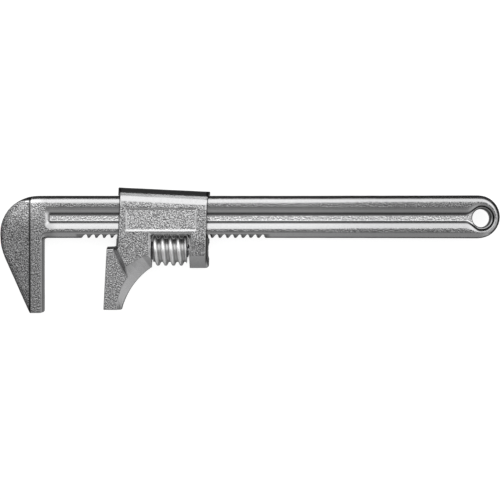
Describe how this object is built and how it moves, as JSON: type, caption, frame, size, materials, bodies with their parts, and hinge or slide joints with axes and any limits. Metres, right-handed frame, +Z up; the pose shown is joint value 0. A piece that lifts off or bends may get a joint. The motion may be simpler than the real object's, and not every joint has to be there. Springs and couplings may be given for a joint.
{
  "type": "adjustable worm-and-rack wrench",
  "caption": "Forged steel adjustable wrench with a fixed jaw on a recessed bar handle and a sliding jaw moved along a rack by a thumb worm.",
  "frame": {"origin": "under the middle of the wrench as it lies flat, at the height of its lowest face", "axes": "+X along the bar from the fixed jaw to the hang hole, +Y away from the jaw tips, +Z up through the thickness"},
  "size_m": [0.381, 0.0958, 0.024],
  "materials": {
    "forged_handle": "bright plated forging skin, fine pebbled grain on the flats, smoother on the rounded ridges",
    "forged_jaw": "bright plated forging skin with a pebbled grain, ground smooth on the lower facets",
    "worm_steel": "turned and plated bright steel",
    "screw_steel": "turned steel",
    "spring_steel": "drawn spring wire"
  },
  "bodies": {
    "handle": {"handle_with_fixed_jaw": "forged_handle"},
    "sliding_jaw": {"sliding_jaw": "forged_jaw", "worm_axle_screw": "screw_steel", "worm_spring": "spring_steel"},
    "worm": {"adjusting_worm": "worm_steel"}
  },
  "joints": [
    {"name": "jaw_slide", "type": "slide", "parent": "handle", "child": "sliding_jaw", "axis": [1, 0, 0], "range_m": [-0.0461, 0.058]},
    {"name": "worm_spin", "type": "hinge", "parent": "sliding_jaw", "child": "worm", "pos_m": [-0.06095, -0.0004, 0.012], "axis": [1, 0, 0], "range_deg": [-2830, 3560]}
  ],
  "couplings": [
    {"joint": "worm_spin", "follows": "jaw_slide", "rad_per_m": 1064.9}
  ]
}
